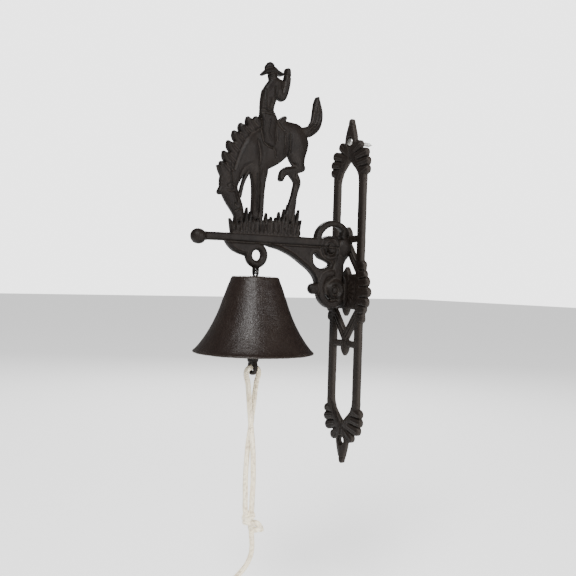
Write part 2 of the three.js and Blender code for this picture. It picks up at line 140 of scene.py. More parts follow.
def grid_faces(rows, columns, closed_rows=False):
    """Quads between `rows` rings of `columns` points each, every ring closed on itself."""
    faces = []
    for i in range(rows if closed_rows else rows - 1):
        for j in range(columns):
            a, b = i * columns + j, i * columns + (j + 1) % columns
            shift = ((i + 1) % rows - i) * columns
            faces.append((a, b, b + shift, a + shift))
    return faces


def value_noise(points, size, seed):
    """Smooth noise from -1 to 1 at 3-D points, with bumps `size` across."""
    cells = np.random.default_rng(seed).uniform(-1, 1, (32, 32, 32))
    spot = points / size
    base = np.floor(spot).astype(int)
    part = spot - base
    part = part * part * (3 - 2 * part)
    total = 0
    for corner in np.ndindex(2, 2, 2):
        index = (base + corner) % 32
        weight = np.prod(np.where(corner, part, 1 - part), axis=1)
        total = total + weight * cells[index[:, 0], index[:, 1], index[:, 2]]
    return total


def roughen(piece, sizes, seed):
    """Moves each vertex along its normal by noise: `sizes` holds (bump width, height) pairs in mm."""
    mesh = piece.data
    spots = np.zeros(len(mesh.vertices) * 3)
    normals = np.zeros(len(mesh.vertices) * 3)
    mesh.vertices.foreach_get("co", spots)
    mesh.vertex_normals.foreach_get("vector", normals)
    spots, normals = spots.reshape(-1, 3) / MM, normals.reshape(-1, 3)
    lift = sum(height * value_noise(spots + 500, width, seed + i) for i, (width, height) in enumerate(sizes))
    spots = spots + normals * lift[:, None]
    mesh.vertices.foreach_set("co", (spots * MM).ravel())
    mesh.update()


def lathe(name, profile, segments):
    """Turns (radius, height) pairs, listed as one closed loop, about the bell's upright axis."""
    angles = np.linspace(0, 2 * math.pi, segments, endpoint=False)
    radius, height = np.array(profile, float).T
    x = radius[:, None] * np.cos(angles)
    y = radius[:, None] * np.sin(angles)
    z = np.repeat(height[:, None], segments, axis=1)
    vertices = np.stack((x, y, z), axis=-1).reshape(-1, 3) + np.array((0, BELL_Y, 0))
    return new_mesh(name, vertices, grid_faces(len(profile), segments, closed_rows=True))


def frames_along(line):
    """Two unit vectors across the line at each of its points, turned as little as possible."""
    ahead = np.gradient(line, axis=0)
    ahead /= np.linalg.norm(ahead, axis=1)[:, None]
    side = np.cross(ahead[0], [0.31, 0.87, 0.38])
    sides = []
    for direction in ahead:
        side = side - direction * np.dot(side, direction)
        side /= np.linalg.norm(side)
        sides.append(side)
    sides = np.array(sides)
    return sides, np.cross(ahead, sides)


def tube_mesh(line, radius_at, segments):
    """Vertices and faces of a tube with round ends: radius_at(angles, distances) gives its surface."""
    sides, ups = frames_along(line)
    angles = np.linspace(0, 2 * math.pi, segments, endpoint=False)
    distance = np.concatenate([[0], np.cumsum(np.linalg.norm(np.diff(line, axis=0), axis=1))])
    radius = radius_at(angles[None, :], distance[:, None])
    across, up = np.cos(angles)[None, :, None], np.sin(angles)[None, :, None]
    ring = across * sides[:, None, :] + up * ups[:, None, :]
    vertices = (line[:, None, :] + radius[:, :, None] * ring).reshape(-1, 3)
    faces = grid_faces(len(line), segments)
    first, last = len(vertices), len(vertices) + 1
    end = (len(line) - 1) * segments
    for j in range(segments):
        after = (j + 1) % segments
        faces.append((first, after, j))
        faces.append((last, end + j, end + after))
    return np.vstack([vertices, line[:1], line[-1:]]), faces


def joined(name, pieces):
    """One object out of (vertices, faces) pairs."""
    vertices, faces = [], []
    for spots, polygons in pieces:
        faces += [tuple(index + len(vertices) for index in polygon) for polygon in polygons]
        vertices += list(spots)
    return new_mesh(name, vertices, faces)


def wire(points, radius):
    """A round wire as (vertices, faces), with its ends drawn in."""
    line = evenly(smooth(points), radius / 2)
    length = np.linalg.norm(np.diff(line, axis=0), axis=1).sum()
    drawn_in = 0.7 * radius

    def radius_at(angles, distance):
        from_end = np.minimum(distance, length - distance)
        drawn = np.sqrt(1 - (1 - np.clip(from_end / drawn_in, 0, 1)) ** 2)
        return radius * np.maximum(drawn, 0.05) * np.ones_like(angles)

    return tube_mesh(line, radius_at, 20)


# ---- Relief: a casting drawn as strokes on a grid ----
OUTSIDE = -50.0  # the depth of a grid point that no stroke comes near


def soft_max(a, b, blend):
    """The larger of two fields, with a fillet where they meet."""
    return np.maximum(a, b) + np.maximum(blend - np.abs(a - b), 0) ** 2 / (4 * blend)


def rounding(depth, edge):
    """0 at an edge, rising as a quarter circle to 1 at `edge` inside it."""
    return np.sqrt(1 - (1 - np.clip(depth / edge, 0, 1)) ** 2)


class Relief:
    """Fields over a grid of (a, b) points: solid where depth > 0, `height` thick and `rim` at its edge.

    A folded relief is drawn in one quarter and shows it mirrored in all four. While `lean` is set, what is
    drawn leans towards +a, by that much for each unit of b above `lean_from`.
    """

    def __init__(self, low, high, step, folded=False):
        axes = [np.arange(a, b + step, step) for a, b in zip(low, high)]
        self.a, self.b = np.meshgrid(*axes, indexing="ij")
        self.seen_a, self.seen_b = (np.abs(self.a), np.abs(self.b)) if folded else (self.a, self.b)
        self.depth = np.full(self.a.shape, OUTSIDE)
        self.height = np.zeros(self.a.shape)
        self.rim = np.full(self.a.shape, 0.5)
        self.lean, self.lean_from = 0.0, 0.0

    def near(self, points):
        """How deep each grid point lies in a stroke, and the stroke's half width beside it."""
        line = smooth([(a + self.lean * (b - self.lean_from), b, width) for a, b, width in points])
        deepest = np.full(self.a.shape, OUTSIDE)
        width = np.ones(self.a.shape)
        reach = line[:, 2].max() + 6
        low, high = line[:, :2].min(0) - reach, line[:, :2].max(0) + reach
        spot = (self.seen_a > low[0]) & (self.seen_a < high[0])
        spot &= (self.seen_b > low[1]) & (self.seen_b < high[1])
        a, b = self.seen_a[spot], self.seen_b[spot]
        best, half = deepest[spot], width[spot]
        for (pa, pb, pr), (qa, qb, qr) in zip(line, line[1:]):
            da, db = qa - pa, qb - pb
            t = np.clip(((a - pa) * da + (b - pb) * db) / max(da * da + db * db, 1e-9), 0, 1)
            radius = pr + (qr - pr) * t
            depth = radius - np.hypot(a - pa - t * da, b - pb - t * db)
            closer = depth > best
            best[closer], half[closer] = depth[closer], radius[closer]
        deepest[spot], width[spot] = best, half
        return deepest, width

    def add(self, depth, height, rim, fillet):
        """Joins a shape to the casting."""
        self.rim = np.where(depth > self.depth, rim, self.rim)
        self.depth = soft_max(self.depth, depth, fillet)
        self.height = np.where(depth > 0, soft_max(self.height, height, fillet), self.height)

    def stroke(self, points, peak, rim=1.2, edge=None, fillet=0.8):
        """A limb with (a, b, half width) points: domed, or flat with its edges rounded by `edge`."""
        depth, width = self.near(points)
        shape = rounding(depth, width if edge is None else edge)
        self.add(depth, rim + (peak - rim) * shape, rim, fillet)

    def disc(self, a, b, radius, peak, rim=1.2, edge=None, fillet=0.8):
        self.stroke([(a, b, radius), (a + 0.01, b, radius)], peak, rim, edge, fillet)

    def inside_polygon(self, points):
        """How deep each grid point lies in a polygon, negative outside it."""
        corners = np.array(points, float)
        nearest = np.full(self.a.shape, 1e9)
        inside = np.zeros(self.a.shape, bool)
        for (pa, pb), (qa, qb) in zip(corners, np.roll(corners, -1, axis=0)):
            da, db = qa - pa, qb - pb
            t = np.clip(((self.seen_a - pa) * da + (self.seen_b - pb) * db) / (da * da + db * db), 0, 1)
            nearest = np.minimum(nearest, np.hypot(self.seen_a - pa - t * da, self.seen_b - pb - t * db))
            crosses = (pb > self.seen_b) != (qb > self.seen_b)
            inside ^= crosses & (self.seen_a < pa + da * (self.seen_b - pb) / (db if db else 1e-9))
        return np.where(inside, nearest, -nearest)

    def polygon(self, points, peak, rim, edge, fillet=0.8):
        depth = self.inside_polygon(points)
        self.add(depth, rim + (peak - rim) * rounding(depth, edge), rim, fillet)

    def line(self, points, amount):
        """A soft ridge (amount > 0) or groove (amount < 0) as wide as its points say."""
        depth, width = self.near(points)
        self.height = self.height + amount * np.exp(-(((width - depth) / width) ** 2))

    def hole(self, depth, edge=0.8, rim=1.0):
        """Cuts out what has depth > 0, with its rim rounded."""
        self.depth = np.minimum(self.depth, -depth)
        self.height = np.minimum(self.height, rim + (self.height - rim) * rounding(-depth, edge))

    def round_hole(self, a, b, radius, edge=0.8, rim=1.0):
        self.hole(radius - np.hypot(self.seen_a - a, self.seen_b - b), edge, rim)

    def mesh(self, name, front, back):
        """A closed mesh. front(a, b, h) and back(a, b, h) place its two skins."""
        inside = self.depth > 0
        count = int(inside.sum())
        index = np.full(inside.shape, -1)
        index[inside] = np.arange(count)
        thickness = np.maximum(self.height, self.rim)
        spots = [np.stack([self.a[inside], self.b[inside], thickness[inside]], axis=1)]
        crossing = {}
        edges = []
        for axis in (0, 1):
            here = [slice(None, -1) if i == axis else slice(None) for i in (0, 1)]
            there = [slice(1, None) if i == axis else slice(None) for i in (0, 1)]
            changes = inside[tuple(here)] != inside[tuple(there)]
            for i, j in np.argwhere(changes):
                p, q = (i, j), (i + (axis == 0), j + (axis == 1))
                part = np.clip(self.depth[p] / (self.depth[p] - self.depth[q]), 0.08, 0.92)
                rim = self.rim[p] if inside[p] else self.rim[q]
                crossing[(p, q)] = count + len(edges)
                edge_a = self.a[p] + part * (self.a[q] - self.a[p])
                edge_b = self.b[p] + part * (self.b[q] - self.b[p])
                edges.append((edge_a, edge_b, rim))
        spots = np.vstack([*spots, np.array(edges)])
        full = inside[:-1, :-1] & inside[1:, :-1] & inside[1:, 1:] & inside[:-1, 1:]
        corners = (index[:-1, :-1], index[1:, :-1], index[1:, 1:], index[:-1, 1:])
        skin = np.stack([corner[full] for corner in corners], axis=1).tolist()
        some = inside[:-1, :-1] | inside[1:, :-1] | inside[1:, 1:] | inside[:-1, 1:]
        walls = []
        total = len(spots)
        for i, j in np.argwhere(some & ~full):
            ring = [(i, j), (i + 1, j), (i + 1, j + 1), (i, j + 1)]
            polygon, cuts = [], []
            for p, q in zip(ring, ring[1:] + ring[:1]):
                if inside[p]:
                    polygon.append(int(index[p]))
                if inside[p] != inside[q]:
                    cut = crossing[(min(p, q), max(p, q))]
                    cuts.append((len(polygon), inside[p]))
                    polygon.append(cut)
            skin.append(polygon)
            for place, leaving in cuts:
                if leaving:
                    p, q = polygon[place], polygon[(place + 1) % len(polygon)]
                    walls.append([q, p, p + total, q + total])
        rear = [[vertex + total for vertex in reversed(polygon)] for polygon in skin]
        vertices = np.vstack([front(*spots.T), back(*spots.T)])
        piece = new_mesh(name, vertices, skin + rear + walls)
        piece.data.set_sharp_from_angle(angle=math.radians(60))
        return piece


def on_arm(side):
    """Places (u, z, h) on one side of the arm's middle plane."""
    return lambda u, z, h: np.stack([side * h, -u, z], axis=1)


# ---- Materials ----
def node_material(name, roughness, metallic):
    material = bpy.data.materials.new(name)
    material.use_nodes = True
    tree = material.node_tree
    shader = tree.nodes["Principled BSDF"]
    shader.inputs["Roughness"].default_value = roughness
    shader.inputs["Metallic"].default_value = metallic
    return material, tree, shader


def add_node(tree, kind, inputs=None, **settings):
    made = tree.nodes.new(kind)
    for key, value in settings.items():
        setattr(made, key, value)
    for key, value in (inputs or {}).items():
        if isinstance(value, bpy.types.NodeSocket):
            tree.links.new(value, made.inputs[key])
        else:
            made.inputs[key].default_value = value
    return made


def ramp(tree, factor, stops):
    """A colour ramp from (position, grey or colour) stops."""
    made = add_node(tree, "ShaderNodeValToRGB", {"Fac": factor})
    elements = made.color_ramp.elements
    while len(elements) < len(stops):
        elements.new(0.5)
    for element, (position, colour) in zip(elements, stops):
        element.position = position
        element.color = (*colour, 1) if isinstance(colour, tuple) else (colour, colour, colour, 1)
    return made.outputs["Color"]


def noise(tree, spot, scale, detail=4, rough=0.55):
    inputs = {"Vector": spot, "Scale": scale, "Detail": detail, "Roughness": rough}
    return add_node(tree, "ShaderNodeTexNoise", inputs).outputs["Fac"]


def mixed(tree, factor, a, b):
    """A colour mix: inputs 0, 6 and 7 are its factor and two colours, and output 2 is the result."""
    made = add_node(tree, "ShaderNodeMix", data_type="RGBA")
    for socket, value in ((made.inputs[0], factor), (made.inputs[6], a), (made.inputs[7], b)):
        if isinstance(value, bpy.types.NodeSocket):
            tree.links.new(value, socket)
        else:
            socket.default_value = value if isinstance(value, float) else (*value, 1)
    return made.outputs[2]


def bumps(tree, shader, layers):
    """Stacks bump nodes: (height, strength, distance in mm)."""
    normal = None
    for height, strength, distance in layers:
        inputs = {"Height": height, "Strength": strength, "Distance": distance * MM}
        if normal:
            inputs["Normal"] = normal
        normal = add_node(tree, "ShaderNodeBump", inputs).outputs["Normal"]
    tree.links.new(normal, shader.inputs["Normal"])


def cast_iron(name, dark, light, worn, sheen_roughness, specular):
    """Painted sand casting: blotched dark paint, painted shade darkening the hollows, and rubbed on the
    edges.
    """
    material, tree, shader = node_material(name, sheen_roughness, 0.0)
    shader.inputs["Specular IOR Level"].default_value = specular
    spot = add_node(tree, "ShaderNodeTexCoord").outputs["Object"]
    blotches = noise(tree, spot, 55, 6, 0.6)
    grain = noise(tree, spot, 900, 3, 0.6)
    sand = add_node(tree, "ShaderNodeTexVoronoi", {"Vector": spot, "Scale": 1300}).outputs["Distance"]
    edges = add_node(tree, "ShaderNodeNewGeometry").outputs["Pointiness"]
    rubbed = ramp(tree, edges, [(0.5, 0.0), (0.56, 1.0)])
    # painted shade: concave spots (low pointiness) are darkened towards half the dark paint colour
    hollow_shade_mask = ramp(tree, edges, [(0.44, 1.0), (0.5, 0.0)])
    paint = mixed(tree, ramp(tree, blotches, [(0.35, 0.0), (0.65, 1.0)]), dark, light)
    bright = tuple(1.5 * c for c in light)
    speckled = mixed(tree, ramp(tree, grain, [(0.45, 0.0), (0.75, 0.5)]), paint, bright)
    hollow_shaded = mixed(tree, hollow_shade_mask, speckled, tuple(0.5 * c for c in dark))
    colour = mixed(tree, rubbed, hollow_shaded, worn)
    tree.links.new(colour, shader.inputs["Base Color"])
    spread = ramp(tree, grain, [(0.3, sheen_roughness - 0.08), (0.7, sheen_roughness + 0.12)])
    tree.links.new(spread, shader.inputs["Roughness"])
    waves = noise(tree, spot, 160, 3)
    bumps(tree, shader, [(waves, 0.4, 0.6), (grain, 0.75, 0.35), (sand, 0.4, 0.12)])
    return material


def bright_steel(name, colour, roughness):
    """Dulled zinc plate or drawn wire: cloudy, with fine scratches."""
    material, tree, shader = node_material(name, roughness, 1.0)
    spot = add_node(tree, "ShaderNodeTexCoord").outputs["Object"]
    clouds = noise(tree, spot, 400, 5)
    stretched = add_node(tree, "ShaderNodeMapping", {"Vector": spot, "Scale": (1, 1, 9)}).outputs["Vector"]
    scratches = noise(tree, stretched, 1800, 2)
    dull = tuple(0.45 * c for c in colour)
    cloudy = mixed(tree, ramp(tree, clouds, [(0.35, 0.0), (0.7, 1.0)]), dull, colour)
    tree.links.new(cloudy, shader.inputs["Base Color"])
    spread = ramp(tree, clouds, [(0.3, roughness - 0.05), (0.7, roughness + 0.2)])
    tree.links.new(spread, shader.inputs["Roughness"])
    bumps(tree, shader, [(scratches, 0.25, 0.05), (clouds, 0.2, 0.08)])
    return material


def cotton(name):
    """Undyed cotton: cream yarn with brown flecks, painted shade in the grooves between yarns, and a fibre
    bump.
    """
    material, tree, shader = node_material(name, 0.92, 0.0)
    shader.inputs["Sheen Weight"].default_value = 0.35
    shader.inputs["Sheen Roughness"].default_value = 0.6
    spot = add_node(tree, "ShaderNodeTexCoord").outputs["Object"]
    patches = noise(tree, spot, 90, 4)
    drawn_out = add_node(tree, "ShaderNodeMapping", {"Vector": spot, "Scale": (3, 3, 1)}).outputs["Vector"]
    fibres = noise(tree, drawn_out, 1500, 4)
    pointed = add_node(tree, "ShaderNodeNewGeometry").outputs["Pointiness"]
    # the dark brown colours both the real flecks and the painted shade in the grooves
    clean, aged, fleck_and_groove_shade = (0.96, 0.88, 0.68), (0.88, 0.77, 0.55), (0.30, 0.20, 0.11)
    yarn = mixed(tree, ramp(tree, patches, [(0.35, 0.0), (0.7, 1.0)]), clean, aged)
    # painted shade: the grooves between yarns (low pointiness) take the dark brown
    groove_shade_mask = ramp(tree, pointed, [(0.43, 1.0), (0.505, 0.0)])
    specks = ramp(tree, noise(tree, spot, 420, 2), [(0.48, 0.0), (0.66, 0.6)])
    colour = mixed(tree, groove_shade_mask, mixed(tree, specks, yarn, fleck_and_groove_shade), fleck_and_groove_shade)
    tree.links.new(colour, shader.inputs["Base Color"])
    bumps(tree, shader, [(fibres, 0.5, 0.15)])
    return material


IRON = cast_iron(
    "cast_iron", dark=(0.0042, 0.0027, 0.0021), light=(0.009, 0.0064, 0.005), worn=(0.022, 0.0175, 0.0145),
    sheen_roughness=0.48, specular=0.13,
)
BELL_IRON = cast_iron(
    "bell_iron", dark=(0.0062, 0.0031, 0.0023), light=(0.0105, 0.0068, 0.0052), worn=(0.026, 0.02, 0.0165),
    sheen_roughness=0.36, specular=0.2,
)
WIRE = bright_steel("black_wire", (0.07, 0.065, 0.06), 0.45)
ZINC = bright_steel("zinc_steel", (0.62, 0.61, 0.58), 0.34)
COTTON = cotton("cotton")


def settle(piece, material, body, node):
    """Finishes a piece: its material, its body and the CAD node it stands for."""
    piece.data.materials.clear()
    piece.data.materials.append(material)
    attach(piece, body)
    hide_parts(*([node] if isinstance(node, str) else node))
    return piece


# ---- Rope: two strands of one braided cotton cord from the clapper's eye, through a knot ----
ROPE_R = 2.5
# (x, distance from the bell's axis towards the wall, z) of the strand in front, from the eye down
FRONT_STRAND = [
    (0, -0.2, -72), (0, -1.5, -72), (0, -4.2, -72.8), (0, -6.2, -74.9), (0.1, -6.9, -78),
    (0.5, -6.3, -81.8), (0.9, -5.3, -86), (1.2, -4.6, -92), (1.5, -4, -99), (1.8, -3.4, -107),
    (2.2, -2.7, -115), (2.5, -1.9, -123), (2.7, -0.8, -132), (2.7, 0.5, -141), (2.5, 1.6, -151),
    (2.1, 2.5, -163), (1.7, 3.2, -178), (1.3, 3, -192), (1, 2.7, -205.5),
]
STUB = [(1.7, 6.9, -217.3), (2.2, 9.3, -218.4), (2.6, 12.3, -221.6), (2.8, 13.5, -225.2)]
TAIL = [
    (0.4, 3.2, -222.4), (0.4, 4.1, -229), (0.2, 5, -238), (-0.2, 4.2, -247), (-0.6, 0, -255.5),
    (-1.2, -6.8, -262.5), (-1.8, -14.6, -268),
]
BRAID_STARTS = 8
BRAID_PITCH = 7.0


def hung(points):
    """Places in the scene from (x, v, z), v being the distance from the bell's axis towards the wall."""
    return np.array([(x, BELL_Y + v, z) for x, v, z in points], float)


def braid_radius(angles, distance):
    """The surface of a solid-braided cord: two crossing sets of rounded yarns."""
    lean = 2 * math.pi * distance / BRAID_PITCH
    right = np.cos(BRAID_STARTS / 2 * (angles + lean))
    left = np.cos(BRAID_STARTS / 2 * (angles - lean))
    return ROPE_R * (0.9 + 0.13 * np.maximum(right, left))


def cord_piece(name, points):
    line = evenly(smooth(points, 8), 0.4)
    vertices, faces = tube_mesh(line, braid_radius, 40)
    return new_mesh(name, vertices, faces), line


def knot_turns(name, centre, loops):
    """Closed turns of cord round a knot: (radius, (turns about x, y, z in degrees), shift)."""
    parts = []
    for radius, turns, shift in loops:
        angles = np.linspace(0, 2 * math.pi, 28)
        ring = np.stack([radius * np.cos(angles), radius * np.sin(angles), np.zeros(28)], axis=1)
        turn = np.array(Euler([math.radians(angle) for angle in turns]).to_matrix())
        line = evenly(smooth(ring @ turn.T + np.array(centre) + np.array(shift), 4), 0.4)
        parts.append(tube_mesh(line, braid_radius, 32))
    return joined(name, parts)


def make_rope():
    inside_knot = [(0.4, 1.6, -210), (0.2, 2.6, -214)]
    back = [(-x, -v, z) for x, v, z in FRONT_STRAND]
    below = [(-0.5, -1, -210.5), (0.2, 1.4, -216)]
    front_route = hung([*FRONT_STRAND, *inside_knot, *STUB])
    back_route = hung([*back, *below, *TAIL])
    front_piece, front_line = cord_piece("rope_front", front_route)
    back_piece, back_line = cord_piece("rope_back", back_route)
    knot = knot_turns("rope_knot_turns", (0, BELL_Y, -214), [
        (4.1, (28, 10, 0), (0.2, 0.2, 3.6)),
        (3.9, (-22, -8, 0), (0.2, 0.8, -2.6)),
        (3.4, (90, 0, 55), (3.0, 6.6, -5.8)),
        (2.8, (70, 0, -60), (-0.6, -0.8, 0.6)),
    ])
    end_knot = knot_turns("rope_end_knot_turns", (-2.4, BELL_Y - 18.6, -271.8), [
        (2.7, (42, -18, 0), (0, 0, 1.5)),
        (2.6, (30, 34, 0), (0, 0, -1.6)),
        (2.7, (84, 0, 40), (0, 0, 0)),
    ])
    settle(front_piece, COTTON, "rope", ("rope_front_strand", "rope_stub"))
    settle(back_piece, COTTON, "rope", ("rope_back_strand", "rope_tail"))
    settle(knot, COTTON, "rope", "rope_knot")
    settle(end_knot, COTTON, "rope", "rope_end_knot")


# ---- Wall plate ----
def plate_leaves(plate):
    leaves = [
        [(5, 133, 4.6), (16.5, 121, 5.2), (19.6, 111, 4.6)],
        [(4, 140, 5), (12.6, 145.6, 4.8)],
        [(8, 134, 5), (21.6, 137, 4.9)],
        [(12, 127, 5), (24.2, 128.5, 4.8)],
        [(17, 118, 4.6), (24.4, 120.5, 4.5)],
    ]
    for points in leaves:
        plate.stroke(points, 5.2, rim=3.2, edge=3.6, fillet=0.5)
    for (a, b, _), (c, d, _) in (points[:2] for points in leaves[1:]):
        tip = (c + 2.6, d + 0.6, 0.5)
        plate.line([(a + 3, b, 0.5), tip], 0.5)
    gaps = [(8.5, 138, 19, 142.4), (12, 131, 27, 133.2), (15, 123.5, 27, 124.6), (6, 143.5, 13, 150)]
    for a, b, c, d in gaps:
        plate.line([(a, b, 0.7), (c, d, 0.7)], -1.1)
    for shift in (0, 3.2, 6.4):
        plate.line([(4.6 + shift, 131 - shift, 0.5), (12.5 + shift * 0.8, 116 - shift, 0.5)], -0.8)


def plate_centre(plate):
    plate.polygon([(0, -1), (21, -1), (21, 15), (16, 18), (0, 17)], 4.2, rim=3.2, edge=1.6)
    for points in ([(20, 0, 5), (30, 0, 5)], [(20, 5, 5), (28, 10, 5)], [(20, 12, 5), (25, 17, 4.6)]):
        plate.stroke(points, 5, rim=3.2, edge=3.4, fillet=0.5)
    plate.stroke([(23.6, 20, 3.2), (23.6, 26.5, 4)], 5, rim=3.2, edge=3, fillet=0.5)
    plate.line([(22, 5.2, 0.7), (33.5, 5.6, 0.7)], -1.1)
    plate.line([(21, 13, 0.7), (31, 14.6, 0.7)], -1.1)
    plate.line([(20.4, 21.6, 0.8), (28, 21.6, 0.8)], -1.0)
    for turn in range(5):
        angle = math.radians(22.5 * turn)
        a, b = math.cos(angle), math.sin(angle)
        plate.line([(5 * a, 5 * b, 1.4), (12.5 * a, 12.5 * b, 1.9)], 0.9)
    plate.line([(16, 0, 0.8), (16, 15, 0.8)], -0.7)


def plate_strapwork(plate):
    plate.stroke([(0, 52, 3.4), (19.6, 53, 3.4)], 4.6, rim=3, edge=2)
    plate.stroke([(17.2, 21.6, 4), (9.2, 33, 4.1), (0, 46.2, 4.2)], 4.8, rim=3, edge=2)
    plate.stroke([(0, 52, 5.2), (0, 57.6, 4.6), (0, 64.2, 0.5)], 5, rim=3, edge=3)
    plate.stroke([(0, 14, 6), (0, 19.6, 3.6), (0, 24.2, 0.5)], 5, rim=3, edge=3)
    plate.line([(0, 50, 0.6), (0, 61, 0.5)], 0.5)
    plate.line([(3, 51, 0.5), (3.2, 56, 0.4)], -0.7)
    for side in (-1.3, 1.3):
        plate.line([(15 + side, 24.6 + side, 0.7), (1.6 + side, 44 + side, 0.7)], -0.9)


def make_wall_plate():
    rail_inner, rail_outer, rail_end = 15.2, 24, 117
    plate = Relief((-37, -175), (37, 175), CASTING_STEP, folded=True)
    rail = [(rail_inner, -1), (rail_outer, -1), (rail_outer, rail_end), (rail_inner, rail_end)]
    plate.polygon(rail, 5, rim=3.4, edge=2.6)
    plate_strapwork(plate)
    plate_centre(plate)
    plate_leaves(plate)
    tip_r = 3
    plate.stroke([(0, 141, 9), (0, 152, 8.2), (0, PLATE_TOP - tip_r, tip_r)], 5.4, rim=3, edge=7, fillet=0.6)
    plate.line([(0, 158, 0.9), (0, 170, 0.8)], 0.7)
    plate.line([(-0.5, 167.6, 0.6), (5, 167, 0.6)], -0.8)
    plate.line([(0, 134, 0.8), (0, 143, 0.7)], -1.1)
    plate.round_hole(0, MOUNT_HOLE_Z, 3.25, edge=0.6, rim=2.0)
    around = np.hypot(plate.seen_a, plate.seen_b - MOUNT_HOLE_Z)
    spot_face = 2.2 + 3 * rounding(around - 4.4, 1.2)
    plate.height = np.where(around < 5.6, np.minimum(plate.height, spot_face), plate.height)
    arm_screw_hole_r = 4.2
    for z in ARM_SCREW_Z.values():
        plate.hole(arm_screw_hole_r - np.hypot(plate.a, plate.b - z), edge=0.5, rim=3)
    piece = plate.mesh(
        "wall_plate_casting",
        lambda x, z, h: np.stack([x, -np.minimum(h, 5.6), z], axis=1),
        lambda x, z, h: np.stack([x, 0 * h, z], axis=1),
    )
    roughen(piece, SAND_CAST, seed=11)
    settle(piece, IRON, "bracket", "wall_plate")


# ---- Arm casting: bar, brace, scrolls, hanging ring, grass, horse and rider ----
BAR_Z = 47
BAR_SIDE = 4.5
WEB_SIDE = 3.3
FIGURE_LEAN = 0.035  # how far the horse and rider lean out, for each unit of height above the bar


def arm_bar(arm):
    bar = [(9, BAR_Z, 4.3), (120, BAR_Z, 4.3), (146, BAR_Z, 3.7), (165, BAR_Z - 0.4, 3.7)]
    arm.stroke(bar, BAR_SIDE, rim=2.4, edge=2.4)
    ball_u, ball_z, ball_r = 173, 45.9, 6.9
    arm.disc(ball_u, ball_z, ball_r, ball_r, rim=0.6, fillet=2.5)
    arm.line([(14, BAR_Z - 4.2, 0.9), (146, BAR_Z - 4.2, 0.9)], -1.5)
    arm.line([(70, BAR_Z + 4, 0.7), (138, BAR_Z + 4, 0.7)], -0.6)


BRACE_UNDERSIDE = [(97, 39.5), (87, 37.5), (73.5, 32.5), (60.5, 25), (50, 18), (44, 11.5), (41.5, 5)]
CRESCENT = [(47.6, 35), (46.6, 27), (41, 22.6), (33, 22.4), (26.5, 26), (32, 29), (40, 31.8), (45, 36.4)]


def arm_web(arm):
    underside = smooth(BRACE_UNDERSIDE, 4)
    outline = [
        (147, 47), (145, 42), (142, 38.4), (137.5, 34.6), (131, 32), (124, 30.4), (121, 35), (117, 40),
        (106, 42),
    ]
    outline += [tuple(point) for point in underside]
    outline += [(30, -4), (12, 4), (9, 20), (9, BAR_Z)]
    arm.polygon(outline, WEB_SIDE, rim=2.2, edge=1.6)
    arm.line([(u, z + 1.8, 1.2) for u, z in BRACE_UNDERSIDE], 1.1)
    arm.line([(u, z + 4.6, 1.0) for u, z in BRACE_UNDERSIDE[1:]], -0.5)
    arm.line([(142, 41, 1.0), (138, 37.2, 1.0), (132, 34.4, 1.0), (126, 33, 1.0)], 0.8)


def spiral(a, b, turns):
    """Stroke points from (degrees, distance, half width) about a centre."""
    return [(a + d * math.cos(math.radians(t)), b + d * math.sin(math.radians(t)), w) for t, d, w in turns]


def upper_scroll(arm):
    band = [
        (-4, 21, 3.2), (35, 20.8, 3.4), (70, 20.8, 3.2), (105, 20.6, 3.0), (134, 19.6, 3.4), (148, 15, 3.4),
    ]
    arm.stroke(spiral(22, 46, band), 4.4, rim=2.0, edge=3.0)
    arm.disc(27, 42, 12.5, 5.6, rim=2.2, edge=2.6)
    curl = [
        (310, 9.8, 1.5), (-40, 9.6, 1.3), (0, 9.4, 1.4), (50, 8.8, 1.4), (110, 8.2, 1.3), (170, 7.4, 1.2),
        (230, 6.8, 1.2), (290, 6.0, 1.3), (350, 4.6, 1.3), (410, 3.2, 1.2),
    ]
    arm.line(spiral(27, 42, curl), -3.6)
    arm.disc(26, 42.4, 2.6, 5.8, rim=3.4, fillet=0.8)
    arm.line([(14.5, 51.7, 1.2), (17, 40, 1.2), (19.9, 28.7, 1.2), (24.4, 18.8, 1.2)], -1.6)


def lower_scroll(arm):
    arm.disc(18.8, 1.2, 11, 5.0, rim=2.4, edge=4.2)
    limb = [
        (75, 17, 3.4), (55, 19, 3.8), (20, 19.5, 4), (-20, 17.8, 4.1), (-60, 15.8, 4), (-100, 13, 4),
        (-140, 9.6, 3.8), (180, 7, 3.6),
    ]
    arm.stroke(spiral(19, 1, limb), 4.6, rim=2.2, edge=3.2)
    groove_shade_mask = [(80, 12.4, 1.3), (20, 13.2, 1.4), (-20, 12.4, 1.4), (-60, 11, 1.3), (-100, 9, 1.2)]
    arm.line(spiral(19, 1, groove_shade_mask), -2.6)
    arm.line(spiral(19.6, 0.8, [(t, 7.4, 1.6) for t in range(-40, 231, 30)]), 1.2)
    arm.line(spiral(20.2, 0.6, [(t, 4.4, 1.2) for t in range(0, 361, 30)]), -2.0)
    arm.disc(20.4, 0.6, 2.2, 4.8, rim=3.0, fillet=0.6)
    arm.stroke([(39, 1.6, 5), (45.4, 2, 5.4)], 4.2, rim=1.2, fillet=1.2)
    arm.line([(40.4, -3.6, 0.7), (40.2, 1.6, 0.7), (40.6, 7, 0.7)], -0.9)


